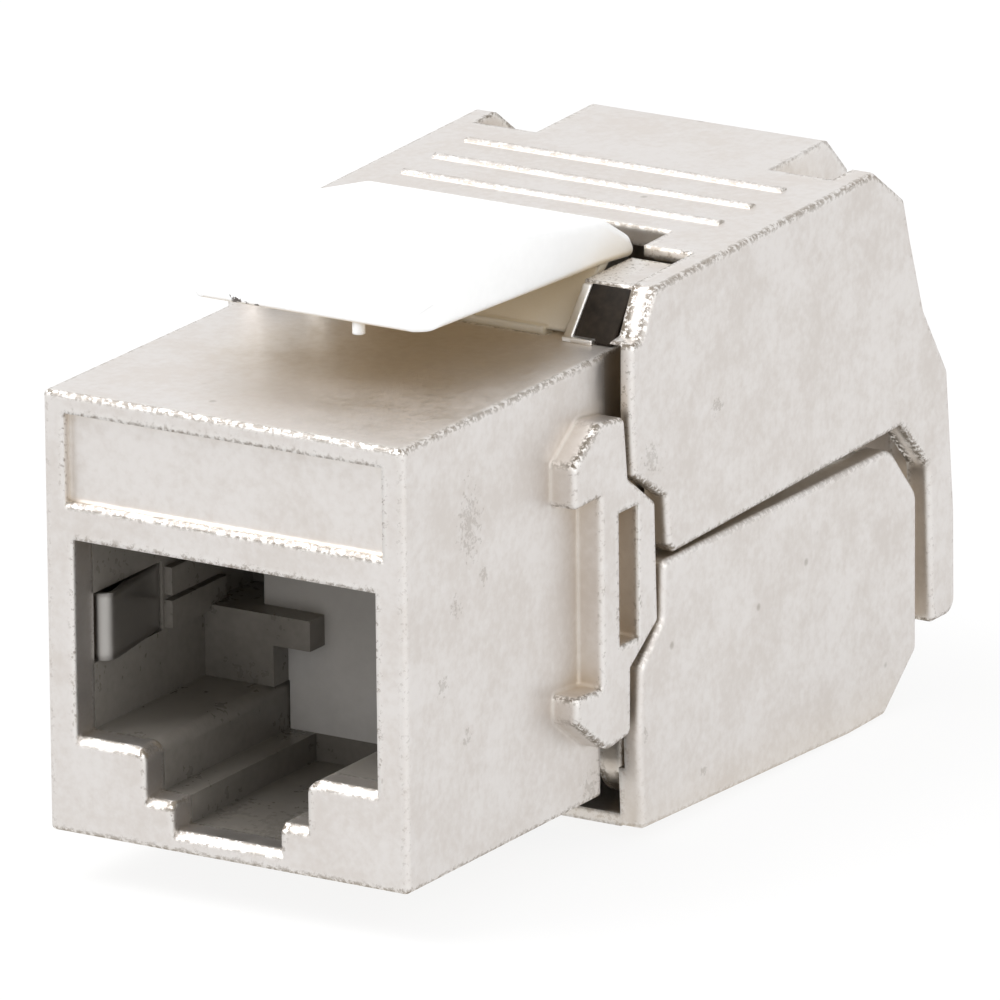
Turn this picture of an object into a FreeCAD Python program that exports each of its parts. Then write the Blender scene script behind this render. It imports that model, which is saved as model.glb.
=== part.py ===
import FreeCAD, Part
import math
import os

from FreeCAD import Vector

# A shielded keystone jack: a die-cast front housing that takes the plug, a spring latch on its
# top, and two jaws at its back that swing open for the cable.
# Millimetres. X is across the front, Y runs from the front face to the back, Z is up.
# Pieces are drawn with the front face at y = 0 and the underside of the housing at z = 0,
# and at the end all of them move together to the origin under the middle of the closed jack.

# ---- Plug port and the dark insert that lines it ----
port_width = 12.2
port_height = 7.1
port_depth = 7.95
notch_width = 6.6
notch_depth = 1.75
slot_width = 4.4
slot_depth = 1.0
slot_floor = 0.35
step_round = 0.45
insert_wall = 0.5
insert_head = 0.8
insert_back = 2.65
insert_back_wall = 0.5
fit_gap = 0.05
shelf_height = 2.6
shelf_reach = 0.95
shelf_inset = 2.8
lug_reach = 1.5
lug_height = 1.1
wall_rib_depth = 0.3
wall_rib_height = 1.0
wall_rib_gap = 0.2
carrier_width = 8.6
carrier_height = 5.0

# ---- Front housing ----
front_wall = 1.2
side_wall = 0.6
floor_wall = 0.4
top_wall = 0.85
edge_round = 0.2
lip_bevel = 0.25
label_gap = 0.47
label_height = 3.2
label_rim = 0.73
label_side = 0.85
label_depth = 0.35
label_lip = 0.13
rear_relief = 0.5
rear_relief_height = 3.2
ear_thickness = 1.0
ear_round = 0.14
ear_reach = 3.6
ear_web = 1.87
ear_bulge = 1.8
ear_foot_drop = 1.35
ear_top_drop = 1.8
window_width = 1.28
window_height = 4.8
cheek_inner = 6.2
cheek_gap = 0.1
cheek_length = 6.3
cheek_front = 1.0
knuckle_inner = 5.1
knuckle_length = 3.05
knuckle_thickness = 0.3
knuckle_rise = 1.8
knuckle_radius = 2.7

# ---- Printed board, terminal block, blades and wire organizer ----
board_thickness = 1.2
board_gap = 0.2
block_gap = 0.1
block_depth = 6.5
block_top_gap = 0.65
post_width = 0.8
post_length = 2.8
post_gap = 0.1
wing_thickness = 0.25
wing_gap = 0.05
blade_count = 4
blade_pitch = 2.7
blade_thickness = 0.4
blade_height = 2.2
blade_length = 8.0
blade_seat = 5.0
blade_gap = 0.1
fork_width = 0.35
fork_depth = 2.2
row_inset = 2.6
organizer_gap = 0.2
organizer_rib_gap = 0.6
organizer_side_gap = 0.35
organizer_round = 0.6
wire_slot_width = 1.3
wire_slot_depth = 2.6
blade_end_gap = 0.6
cable_radius = 3.7
cable_bore_depth = 4.0

# ---- Plug contacts and ground springs ----
contact_count = 8
contact_pitch = 1.02
contact_size = 0.35
contact_slot = 0.5
contact_rise = 0.3
contact_bend = 1.2
contact_fall = 2.5
contact_run = 5.6
spring_sheet = 0.2
spring_length = 4.1
spring_height = 2.4
spring_bulge = 0.55
spring_floor = 2.4
spring_front = 0.2

# ---- Jaws ----
jaw_gap = 0.1
jaw_panel = 0.9
jaw_round = 0.2
jaw_plate = 0.7
jaw_seam = 0.35
jaw_length = 35.0
split_height = 7.95
split_gap_front = 0.12
split_gap_rear = 0.75
jaw_rib = 1.0
jaw_rib_back = 5.0
front_edge = 0.45
front_edge_length = 2.4
pivot_radius = 0.95
pivot_clearance = 0.05
upper_pivot_back = 3.6
upper_pivot_drop = 0.2
plate_slope = 0.028
plate_rise = 2.19
plate_cut_back = 7.5
latch_room_gap = 0.3
strip_cut_back = 5.7
strip_lip = 0.39
strip_lip_length = 0.7
grip_count = 3
grip_pitch = 2.1
grip_first = 9.06
grip_height = 0.14
grip_width = 0.38
grip_length = 13.0
tongue_width = 9.6
tongue_back = 3.0
tongue_slope = 1.4
notch_back = 6.85
notch_floor_drop = 3.2
hook_width = 1.75
hook_apex_back = 3.6
hook_apex_rise = 0.6
hook_foot_height = 0.75
hook_foot_thickness = 0.8
hook_foot_inner = 6.3
lower_pivot_back = 2.6
lower_pivot_height = 0.8
lower_pivot_eye = 1.5
lower_plate = 0.45
lower_drop = 1.81
lower_slope_drop = 0.45
lower_rear_back = 2.7
lower_rear_drop = 2.1
lower_shoulder_back = 4.45
lower_shoulder_round = 1.0
lower_heel_back = 4.9
lower_bend_back = 7.3
lower_front = 0.68
lower_edge = 0.65
lower_edge_length = 0.9
rear_wall = 0.8
rear_wall_inset = 0.4

# ---- Latch ----
latch_width = 9.9
latch_front = 5.2
latch_length = 13.95
latch_clearance = 2.35
latch_thickness = 2.6
latch_ramp = 2.5
latch_round = 0.55
latch_side_round = 0.3
latch_corner_round = 1.4
latch_leg_width = 9.5
latch_leg = 0.65
latch_leg_slope = 0.75
latch_foot_back = 1.3
latch_foot_length = 0.6
latch_foot_depth = 1.25
latch_foot_width = 8.0
latch_foot_gap = 0.25
latch_nub = 0.45

# ---- Sizes that follow from the ones above ----
half_port = port_width / 2
half_insert = half_port + insert_wall
half_cavity = half_insert + fit_gap
half_body = half_cavity + side_wall
slot_z = floor_wall + slot_floor
notch_z = slot_z + slot_depth
port_z = notch_z + notch_depth
port_top = port_z + port_height
insert_top = port_top + insert_head
label_z = insert_top + label_gap
body_height = label_z + label_height + label_rim
ceiling = body_height - top_wall
port_back = front_wall + port_depth
insert_rear = port_back + insert_back
body_depth = insert_rear + board_thickness
ear_outer = half_body + ear_thickness
cheek_outer = half_body - cheek_gap
cheek_rear = body_depth + cheek_length
knuckle_front = body_depth + strip_cut_back - jaw_seam - knuckle_length
knuckle_top = body_height + knuckle_rise
upper_pivot = (body_depth + upper_pivot_back, body_height - upper_pivot_drop)
lower_pivot = (body_depth + lower_pivot_back, lower_pivot_height)
panel_inner = half_body + jaw_gap
panel_outer = panel_inner + jaw_panel
block_half = cheek_inner - block_gap
block_rear = body_depth + block_depth
block_top = ceiling - block_top_gap
organizer_front = block_rear + organizer_gap
organizer_half = panel_inner - organizer_side_gap
post_front = knuckle_front + jaw_seam + post_gap
cable_z = split_height + split_gap_rear / 2
plate_front_z = body_height + plate_rise
rib_rear = jaw_length - jaw_rib_back
organizer_rear = rib_rear - jaw_rib - organizer_rib_gap
blade_pocket_depth = blade_length - blade_seat - organizer_gap + blade_end_gap
lower_rear = jaw_length - lower_rear_back
lower_heel = jaw_length - lower_heel_back
lower_shoulder = jaw_length - lower_shoulder_back
lower_bend = jaw_length - lower_bend_back
lower_front_y = body_depth + lower_front


def block(x0, x1, y0, y1, z0, z1):
    return Part.makeBox(x1 - x0, y1 - y0, z1 - z0, Vector(x0, y0, z0))


def rod(radius, centre, x0, x1):
    return Part.makeCylinder(radius, x1 - x0, Vector(x0, centre[0], centre[1]), Vector(1, 0, 0))


def corner_cut(before, corner, after, radius):
    """Ends and middle of the arc that rounds one corner of an outline."""
    to_before = (before - corner).normalize()
    to_after = (after - corner).normalize()
    half_turn = to_before.getAngle(to_after) / 2
    reach = radius / math.tan(half_turn)
    inward = (to_before + to_after).normalize()
    middle = corner + inward * (radius / math.sin(half_turn) - radius)
    return corner + to_before * reach, middle, corner + to_after * reach


def outline_face(corners, place):
    """Flat face from corners (a, b) or (a, b, rounding radius); place turns (a, b) into a Vector."""
    points = [place(corner[0], corner[1]) for corner in corners]
    starts = []
    edges = []
    for index, corner in enumerate(corners):
        point = points[index]
        if len(corner) == 3:
            before = points[index - 1]
            after = points[(index + 1) % len(points)]
            begin, middle, end = corner_cut(before, point, after, corner[2])
            edges.append(Part.Arc(begin, middle, end).toShape())
            starts.append((begin, end))
        else:
            edges.append(None)
            starts.append((point, point))
    chain = []
    for index, arc in enumerate(edges):
        if arc is not None:
            chain.append(arc)
        leave = starts[index][1]
        arrive = starts[(index + 1) % len(starts)][0]
        chain.append(Part.LineSegment(leave, arrive).toShape())
    return Part.Face(Part.Wire(chain))


def side_prism(corners, x0, x1):
    """Solid with a (y, z) outline, from x0 to x1."""
    face = outline_face(corners, lambda y, z: Vector(x0, y, z))
    return face.extrude(Vector(x1 - x0, 0, 0))


def plan_prism(corners, z0, z1):
    """Solid with an (x, y) outline, from z0 to z1."""
    face = outline_face(corners, lambda x, y: Vector(x, y, z0))
    return face.extrude(Vector(0, 0, z1 - z0))


def front_prism(corners, y0, y1):
    """Solid with an (x, z) outline, from y0 to y1."""
    face = outline_face(corners, lambda x, z: Vector(x, y0, z))
    return face.extrude(Vector(0, y1 - y0, 0))


def mirrored(shape):
    return shape.mirror(Vector(0, 0, 0), Vector(1, 0, 0))


def both_sides(shape):
    return [shape, mirrored(shape)]


def joined(shapes):
    return shapes[0].multiFuse(shapes[1:]).removeSplitter()


def rounded_at(shape, axis, value, radius):
    """Rounds every edge that lies in one plane, such as the rim of an outer face."""
    rim = []
    for edge in shape.Edges:
        box = edge.BoundBox
        low = getattr(box, axis + "Min")
        high = getattr(box, axis + "Max")
        if abs(low - value) < 1e-4 and abs(high - value) < 1e-4:
            rim.append(edge)
    return shape.makeFillet(radius, rim)


# ---------------------------------------------------------------- front housing

def housing_shell():
    shell = block(-half_body, half_body, 0, body_depth, 0, body_height)
    outer_edges = [edge for edge in shell.Edges if edge.BoundBox.YMin < body_depth / 2]
    shell = shell.makeFillet(edge_round, outer_edges)
    cavity = block(-half_cavity, half_cavity, front_wall, body_depth, floor_wall, ceiling)
    relief = block(-half_body, half_body, body_depth - rear_relief, body_depth,
                   0, rear_relief_height)
    return shell.cut([cavity, relief])


def port_room(y0, y1):
    """The plug's room and its first step down, with the step's two shoulders rounded."""
    half_notch = notch_width / 2
    right = [(half_port, port_top), (half_port, port_z), (half_notch, port_z, step_round),
             (half_notch, notch_z)]
    left = [(-corner[0],) + corner[1:] for corner in reversed(right)]
    return front_prism(right + left, y0, y1)


def slot_room(y0, y1):
    return block(-slot_width / 2, slot_width / 2, y0, y1, slot_z, notch_z)


def front_openings():
    """The plug opening, its two steps down, the label recess, and their bevelled lips."""
    label_half = half_body - label_side
    label = block(-label_half, label_half, 0, label_depth, label_z, label_z + label_height)
    cutters = [port_room(0, front_wall), slot_room(0, front_wall), label]
    lips = [(half_port, port_z, lip_bevel), (notch_width / 2, notch_z, lip_bevel),
            (slot_width / 2, slot_z, lip_bevel), (label_half, label_z, label_lip)]
    for half_width, low, bevel in lips:
        lip = [(0, low - bevel), (bevel, low), (0, low)]
        cutters.append(side_prism(lip, -half_width, half_width))
    return cutters


def ear():
    """The raised catch frame on one side, with its window."""
    back = body_depth
    top = body_height - ear_top_drop
    arm = back - ear_reach
    web = back - ear_web
    bulge = back + ear_bulge
    foot = port_z - ear_foot_drop
    outline = [
        (arm, top - 1.2, 0.2),
        (web, top, 0.5),
        (back - 0.3, top - 0.2, 0.3),
        (back - 0.07, top - 2.45),
        (bulge - 0.12, top - 3.75, 0.2),
        (bulge, foot + 3.8, 0.2),
        (back, foot + 2.55),
        (back - 0.05, foot + 0.2, 0.3),
        (web + 0.3, foot, 0.6),
        (arm, foot + 1.5, 0.5),
        (arm, foot + 2.4, 0.2),
        (web, foot + 2.3),
        (web, top - 2.65),
        (arm, top - 2.7, 0.2),
    ]
    plate = side_prism(outline, half_body, ear_outer)
    plate = rounded_at(plate, "X", ear_outer, ear_round)
    middle = (foot + top) / 2
    window = block(half_body, ear_outer, web + 1.1, web + 1.1 + window_width,
                   middle - window_height / 2, middle + window_height / 2)
    return plate.cut(window)


def cheek():
    """The plate at one side of the housing's back that carries both jaw pivots."""
    pivot_y = lower_pivot[0]
    knuckle_rear = body_depth + strip_cut_back - jaw_seam
    plate = block(cheek_inner, cheek_outer, body_depth - cheek_front, cheek_rear,
                  rear_relief_height, body_height)
    web = block(cheek_inner, cheek_outer, pivot_y - lower_pivot_eye, pivot_y + lower_pivot_eye,
                lower_pivot[1], rear_relief_height)
    eye = rod(lower_pivot_eye, lower_pivot, cheek_inner, cheek_outer)
    riser = block(cheek_inner, cheek_outer, post_front + post_gap, knuckle_rear,
                  body_height, knuckle_top)
    cap = block(knuckle_inner, cheek_outer, knuckle_front, knuckle_rear,
                knuckle_top - knuckle_thickness, knuckle_top)
    reach = rod(knuckle_radius, upper_pivot, knuckle_inner, cheek_outer)
    front_part = block(knuckle_inner, cheek_outer, knuckle_front, upper_pivot[0],
                       body_height, knuckle_top)
    knuckle = riser.fuse(cap).common(reach.fuse(front_part))
    return joined([plate, web, eye, knuckle])


def front_housing():
    roof = block(-cheek_outer, cheek_outer, body_depth, cheek_rear, ceiling, body_height)
    solids = [housing_shell(), roof] + both_sides(cheek()) + both_sides(ear())
    housing = joined(solids)
    foot_y = body_depth + latch_foot_back
    latch_slot = block(-latch_foot_width / 2 - latch_foot_gap, latch_foot_width / 2 + latch_foot_gap,
                       foot_y - latch_foot_gap, foot_y + latch_foot_length + latch_foot_gap,
                       ceiling, body_height)
    post_slot = block(cheek_inner - post_width - 2 * post_gap, cheek_inner,
                      post_front - post_gap, post_front + post_length + post_gap,
                      ceiling, body_height)
    hole = pivot_radius + pivot_clearance
    upper_hole = rod(hole, upper_pivot, cheek_inner, cheek_outer)
    lower_hole = rod(hole, lower_pivot, cheek_inner, cheek_outer)
    cutters = front_openings() + [latch_slot]
    for cutter in (post_slot, upper_hole, lower_hole):
        cutters = cutters + both_sides(cutter)
    return housing.cut(cutters)


# ---------------------------------------------------------------- inside the port

def contact_x(number):
    return (number - (contact_count - 1) / 2) * contact_pitch


def spring_window(side_gap):
    return block(half_port, half_insert, front_wall, front_wall + spring_front + spring_length
                 + side_gap, port_z + spring_floor - side_gap,
                 port_z + spring_floor + spring_height + side_gap)


def port_insert():
    """The dark moulding that lines the port, with the steps for the plug's clip."""
    solid = block(-half_insert, half_insert, front_wall, insert_rear, floor_wall, insert_top)
    depth_end = insert_rear - insert_back_wall
    cutters = [port_room(front_wall, depth_end), slot_room(front_wall, port_back)]
    cutters = cutters + both_sides(spring_window(fit_gap))
    for number in range(contact_count):
        x = contact_x(number)
        cutters.append(block(x - contact_slot / 2, x + contact_slot / 2,
                             front_wall + contact_bend / 2, insert_rear, port_top, insert_top))
    solid = solid.cut(cutters)
    shelf_z = port_z + shelf_height
    inset = half_port - shelf_inset
    ribs_front = front_wall + spring_front + spring_length + spring_sheet
    shelf = block(inset, half_port, port_back - shelf_reach, port_back, port_z, shelf_z)
    deep_shelf = block(carrier_width / 2, half_port, port_back, depth_end, port_z, shelf_z)
    lug = block(inset - lug_reach, inset, port_back - shelf_reach, port_back,
                shelf_z - lug_height, shelf_z)
    added = both_sides(shelf) + both_sides(deep_shelf) + both_sides(lug)
    for step in range(2):
        rib_z = port_z + spring_floor + step * (wall_rib_height + wall_rib_gap)
        rib = block(half_port - wall_rib_depth, half_port, ribs_front, port_back,
                    rib_z, rib_z + wall_rib_height)
        added = added + both_sides(rib)
    return joined([solid] + added)


def contact_carrier():
    """The pale block behind the plug's nose."""
    half_width = carrier_width / 2 - fit_gap
    half_notch = notch_width / 2 - fit_gap
    depth_end = insert_rear - insert_back_wall
    wide = block(-half_width, half_width, port_back, depth_end, port_z, port_z + carrier_height)
    narrow = block(-half_notch, half_notch, port_back, depth_end, notch_z, port_z)
    return wide.fuse(narrow).removeSplitter()


def contact(number):
    """One plug contact: along the roof of the port from the board, then back and down."""
    x = contact_x(number)
    high = port_top + contact_rise
    bend_y = front_wall + contact_bend
    end_y = bend_y + contact_run
    end_z = high - contact_fall
    outline = [
        (insert_rear, high),
        (insert_rear, high + contact_size),
        (bend_y - contact_size, high + contact_size, contact_size),
        (bend_y - contact_size, high - contact_size, contact_size / 2),
        (end_y, end_z),
        (end_y + contact_size / 2, end_z + contact_size),
        (bend_y + contact_size, high - contact_size / 2, contact_size / 4),
        (bend_y + contact_size, high),
    ]
    return side_prism(outline, x - contact_size / 2, x + contact_size / 2)


def ground_spring():
    """A strip of sheet folded into a flat loop that stands in the port's wall at +X."""
    outer = half_insert
    front = front_wall + spring_front
    back = front + spring_length
    inner = half_port - spring_bulge
    nose = (outer - inner) * 0.45
    loop = plan_prism([(outer, back), (outer, front, nose), (inner, front, nose),
                       (outer - 2 * spring_sheet, back)],
                      port_z + spring_floor, port_z + spring_floor + spring_height)
    hollow_nose = nose - spring_sheet
    hollow = plan_prism([(outer - spring_sheet, back - 4 * spring_sheet),
                         (outer - spring_sheet, front + spring_sheet, hollow_nose),
                         (inner + spring_sheet, front + spring_sheet, hollow_nose)],
                        port_z + spring_floor, port_z + spring_floor + spring_height)
    return loop.cut(hollow)


# ---------------------------------------------------------------- wiring side

def blade_places():
    """x and z of each blade's middle, in a lower and an upper row."""
    low = rear_relief_height + row_inset
    high = block_top - row_inset
    return [((place - (blade_count - 1) / 2) * blade_pitch, z)
            for z in (low, high) for place in range(blade_count)]


def blade_room(x, z, gap, y0, y1):
    return block(x - blade_thickness / 2 - gap, x + blade_thickness / 2 + gap, y0, y1,
                 z - blade_height / 2 - gap, z + blade_height / 2 + gap)


def circuit_board():
    half_width = cheek_inner - board_gap
    return block(-half_width, half_width, insert_rear, body_depth,
                 rear_relief_height, ceiling - board_gap)


def knuckle_filler():
    """The plastic under one knuckle: a post up through the roof and a wing that shuts its front."""
    high = knuckle_top - knuckle_thickness - post_gap
    low = body_height + wing_gap
    front = knuckle_front + wing_gap
    post = block(block_half - post_width, block_half, post_front, post_front + post_length,
                 block_top, high)
    neck = block(block_half - post_width, block_half, front, post_front, low, high)
    wing = block(knuckle_inner + post_gap, cheek_outer - post_gap, front, front + wing_thickness,
                 low, high)
    return post.fuse([neck, wing])


def terminal_block():
    solid = block(-block_half, block_half, body_depth, block_rear, rear_relief_height, block_top)
    posts = both_sides(knuckle_filler())
    slots = [blade_room(x, z, blade_gap, block_rear - blade_seat, block_rear)
             for x, z in blade_places()]
    return joined([solid] + posts).cut(slots)


def idc_contact(x, z):
    """A forked blade that bites through the insulation of one wire."""
    front = block_rear - blade_seat
    rear = front + blade_length
    blade = blade_room(x, z, 0, front, rear)
    fork = block(x - blade_thickness, x + blade_thickness, rear - fork_depth, rear,
                 z - fork_width / 2, z + fork_width / 2)
    return blade.cut(fork)


def wire_manager():
    """The white organizer that holds the wires over the blades."""
    low = rear_relief_height
    high = block_top
    outline = [(organizer_front, low, organizer_round), (organizer_rear, low, organizer_round),
               (organizer_rear, high, organizer_round), (organizer_front, high, organizer_round)]
    solid = side_prism(outline, -organizer_half, organizer_half)
    bore = Part.makeCylinder(cable_radius, cable_bore_depth,
                             Vector(0, organizer_rear - cable_bore_depth, cable_z),
                             Vector(0, 1, 0))
    cutters = [bore]
    for x, z in blade_places():
        cutters.append(blade_room(x, z, blade_gap, organizer_front,
                                  organizer_front + blade_pocket_depth))
        edge = low if z < cable_z else high
        cutters.append(block(x - wire_slot_width / 2, x + wire_slot_width / 2,
                             organizer_front, organizer_front + wire_slot_depth,
                             min(edge, z), max(edge, z)))
    return solid.cut(cutters)


# ---------------------------------------------------------------- jaws

def plate_z(y):
    """Height of the upper jaw's top face, which climbs gently to the back."""
    return plate_front_z + plate_slope * (y - body_depth - strip_cut_back)


def rear_line():
    """The upper jaw's back, from the top corner down to the split, as (y, z)."""
    top = body_height
    return [
        (jaw_length - 3.4, top + 1.0),
        (jaw_length - 2.95, top - 0.6),
        (jaw_length - 2.05, top - 3.4),
        (jaw_length - 0.45, split_height + 1.85),
    ]


def upper_panel():
    """One side of the upper jaw, down to the hook that catches behind the lower jaw."""
    back = body_depth
    top = body_height
    split = split_height + split_gap_front
    hook_front = jaw_length - hook_width
    foot = hook_foot_height
    notch_rear = jaw_length - notch_back
    front_low = (back + 2.55, split + 0.37)
    outline = [
        (back + 0.2, top + 0.4, 0.15),
        (back + 0.86, top + 0.48, 0.1),
        (back + 1.75, plate_z(back + 1.75), 0.4),
        (notch_rear + 1.4, plate_z(notch_rear + 1.4), 0.3),
        (rear_line()[0][0], rear_line()[0][1], 0.3),
        rear_line()[1],
        rear_line()[2],
        (rear_line()[3][0], rear_line()[3][1], 0.3),
        (jaw_length, foot + 3.8, 0.4),
        (jaw_length, foot, 0.6),
        (hook_front + 0.1, foot, 0.15),
        (hook_front - 0.1, split_height - 1.3, 0.5),
        (jaw_length - hook_apex_back, split_height + hook_apex_rise, 0.3),
        (back + 3.0, split),
        front_low,
        (back + 2.4, top - 5.6),
        (back + 0.3, top - 4.3),
        (back + 0.16, top - 1.9),
    ]
    panel = side_prism(outline, panel_inner, panel_outer)
    return rounded_at(panel, "X", panel_outer, jaw_round)


def top_plate():
    """The upper jaw's roof: a strip each side of the latch, a full plate, and a tongue."""
    front = body_depth + strip_cut_back
    base = jaw_length - notch_back
    step = front + strip_lip_length
    sheet = side_prism([(front, plate_z(front) - strip_lip), (front, plate_z(front)),
                        (base, plate_z(base)), (base, plate_z(base) - jaw_plate),
                        (step, plate_z(step) - jaw_plate), (step, plate_z(step) - strip_lip)],
                       -panel_inner, panel_inner)
    half_room = knuckle_inner + latch_room_gap
    latch_room = block(-half_room, half_room, front, body_depth + plate_cut_back,
                       body_height, body_height + 2 * plate_rise)
    return sheet.cut(latch_room)


def tongue():
    """The middle of the roof's back end, which runs on past the notches and slopes down."""
    base = jaw_length - notch_back
    edge = jaw_length - tongue_back
    toe = edge + tongue_slope
    low = rear_line()[2][1]
    outline = [
        (base - jaw_plate, plate_z(base) - jaw_plate),
        (base - jaw_plate, plate_z(base - jaw_plate)),
        (edge, plate_z(edge), 0.2),
        (toe, plate_z(edge) - tongue_slope, 0.2),
        (toe, low),
        (toe - jaw_plate, low),
        (toe - jaw_plate, plate_z(edge) - tongue_slope - jaw_plate / 2),
        (edge - jaw_plate, plate_z(edge) - jaw_plate),
    ]
    skin = side_prism(outline, -tongue_width / 2, tongue_width / 2)
    floor_z = body_height - notch_floor_drop + 2.6
    wall_outline = [
        (base - jaw_plate, floor_z - jaw_plate),
        (base - jaw_plate, plate_z(base - jaw_plate)),
        (edge, plate_z(edge), 0.2),
        (toe, plate_z(edge) - tongue_slope, 0.2),
        (toe, low),
        (toe - 2 * jaw_plate, low),
        (edge - jaw_plate, floor_z - jaw_plate),
    ]
    wall = side_prism(wall_outline, tongue_width / 2 - jaw_plate, tongue_width / 2)
    ledge = block(tongue_width / 2 - jaw_plate, panel_inner, base - jaw_plate, jaw_length - 2.6,
                  floor_z - jaw_plate, floor_z)
    riser = block(tongue_width / 2 - jaw_plate, panel_inner, base - jaw_plate, base,
                  floor_z - jaw_plate, plate_z(base) - jaw_plate / 2)
    return [skin] + both_sides(wall) + both_sides(ledge) + both_sides(riser)


def grips():
    """Low ridges across the roof for the thumb."""
    ridges = []
    for number in range(grip_count):
        y = body_depth + grip_first + number * grip_pitch
        ridge = side_prism([(y - grip_width / 2, plate_z(y) - grip_height),
                            (y - grip_width / 2, plate_z(y) + grip_height / 2),
                            (y, plate_z(y) + grip_height),
                            (y + grip_width / 2, plate_z(y) + grip_height / 2),
                            (y + grip_width / 2, plate_z(y) - grip_height)],
                           -grip_length / 2, grip_length / 2)
        ridges.append(ridge)
    return ridges


def cable_hole():
    length = jaw_length
    return Part.makeCylinder(cable_radius, length, Vector(0, organizer_rear, cable_z),
                             Vector(0, 1, 0))


def upper_rear_wall():
    line = rear_line()
    bottom = split_height + split_gap_rear
    outer = line[1:] + [(jaw_length - rear_wall_inset, bottom)]
    inner = [(y - rear_wall, z) for y, z in reversed(outer)]
    wall = side_prism(outer + inner, -panel_inner, panel_inner)
    rib = block(-panel_inner, panel_inner, rib_rear - jaw_rib, rib_rear,
                bottom, plate_z(rib_rear) - jaw_plate - tongue_slope)
    return [wall, rib]


def hook_foot():
    """The tab at the foot of one hook, turned in behind the lower jaw."""
    front = jaw_length - hook_width + 0.1
    return block(hook_foot_inner, panel_inner, front, jaw_length - rear_wall_inset,
                 hook_foot_height + 0.1, hook_foot_height + hook_foot_thickness)


def hook_web():
    """The wall behind the lower jaw that joins one hook to the back of the upper jaw."""
    rear = jaw_length - rear_wall_inset
    return block(hook_foot_inner, panel_inner, rear - rear_wall, rear,
                 hook_foot_height + 0.1, split_height + split_gap_rear)


def pivot_boss(centre):
    return rod(pivot_radius, centre, cheek_inner + cheek_gap, panel_inner)


def front_edge_pocket():
    """Cut that leaves only a thin edge at the front of one upper side panel."""
    front = body_depth
    return block(panel_inner, panel_outer - front_edge, front, front + front_edge_length,
                 split_height + jaw_panel, body_height + jaw_seam)


def upper_jaw():
    solids = [top_plate()] + both_sides(upper_panel()) + tongue() + grips()
    solids = solids + upper_rear_wall() + both_sides(hook_foot()) + both_sides(hook_web())
    solids = solids + both_sides(pivot_boss(upper_pivot))
    return joined(solids).cut([cable_hole()] + both_sides(front_edge_pocket()))


def lower_floor_z(y):
    climb = (lower_bend - y) / (lower_bend - lower_front_y)
    return lower_slope_drop * climb - lower_drop


def lower_panel():
    """One side of the lower jaw."""
    back = body_depth
    rear = lower_rear
    split = split_height
    outline = [
        (lower_front_y, lower_floor_z(lower_front_y), 0.2),
        (back + 0.5, 2.0),
        (back + 0.65, port_z + 1.0, 0.2),
        (back + 2.1, split - 2.1, 0.2),
        (back + 2.2, split, 0.25),
        (lower_shoulder, split, lower_shoulder_round),
        (rear + 0.05, split - lower_rear_drop, 0.8),
        (rear, 0.1, 0.3),
        (lower_heel, 0.06 - lower_drop, 0.4),
        (lower_bend, -lower_drop),
    ]
    panel = side_prism(outline, panel_inner, panel_outer)
    return rounded_at(panel, "X", panel_outer, jaw_round)


def lower_floor():
    """The lower jaw's bottom plate and its sloping heel."""
    front = lower_front_y
    rear = lower_rear
    outline = [
        (front, lower_floor_z(front)),
        (lower_bend, -lower_drop),
        (lower_heel, 0.06 - lower_drop, 0.4),
        (rear, 0.1, 0.3),
        (rear, 1.2),
        (rear - rear_wall, 1.2),
        (rear - rear_wall, 0.4),
        (lower_heel - 0.3, jaw_plate - lower_drop, 0.4),
        (front + 1.0, lower_floor_z(front + 1.0) + lower_plate),
        (front, lower_floor_z(front) + lower_plate),
    ]
    return side_prism(outline, -panel_inner, panel_inner)


def lower_rear_wall():
    """The lower jaw's back, which leans forward above its corner like the side panels."""
    corner = split_height - lower_rear_drop - jaw_gap / 2
    crest = split_height - split_gap_front - jaw_seam
    outline = [(lower_rear, 0.3), (lower_rear, corner), (lower_shoulder + jaw_gap, crest),
               (lower_shoulder + jaw_gap - rear_wall, crest), (lower_rear - rear_wall, corner),
               (lower_rear - rear_wall, 0.3)]
    return side_prism(outline, -panel_inner, panel_inner)


def lower_jaw():
    rib = block(-panel_inner, panel_inner, rib_rear - jaw_rib, rib_rear,
                lower_plate - lower_drop, split_height - split_gap_front)
    solids = [lower_floor(), lower_rear_wall(), rib] + both_sides(lower_panel())
    solids = solids + both_sides(pivot_boss(lower_pivot))
    edge_pocket = block(panel_inner, panel_outer - lower_edge, body_depth,
                        lower_front_y + lower_edge_length, rear_wall, split_height - rear_wall)
    return joined(solids).cut([cable_hole()] + both_sides(edge_pocket))


# ---------------------------------------------------------------- latch

def latch_pad():
    """The wedge that is pressed to free the jack from its panel."""
    low = body_height + latch_clearance
    front = latch_front
    rear = front + latch_length
    crest = low + latch_thickness
    outline = [
        (front, low, 0.15),
        (front + 0.35, low + 0.65, 0.2),
        (front + 0.35 + latch_ramp, crest, latch_round),
        (rear - 2.15, crest - 1.45, 0.9),
        (rear - 0.5, low + 0.15, 0.4),
        (rear, low - 0.7, 0.25),
        (rear - 2.2, low - 0.5, 0.3),
        (front + 6.0, low - 0.25),
    ]
    pad = side_prism(outline, -latch_width / 2, latch_width / 2)
    pad = rounded_at(pad, "X", latch_width / 2, latch_side_round)
    pad = rounded_at(pad, "X", -latch_width / 2, latch_side_round)
    half_width = latch_width / 2
    plan = plan_prism([(-half_width, front, latch_corner_round), (half_width, front, latch_corner_round),
                       (half_width, rear + 1), (-half_width, rear + 1)], low - 1, crest + 1)
    return pad.common(plan)


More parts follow.
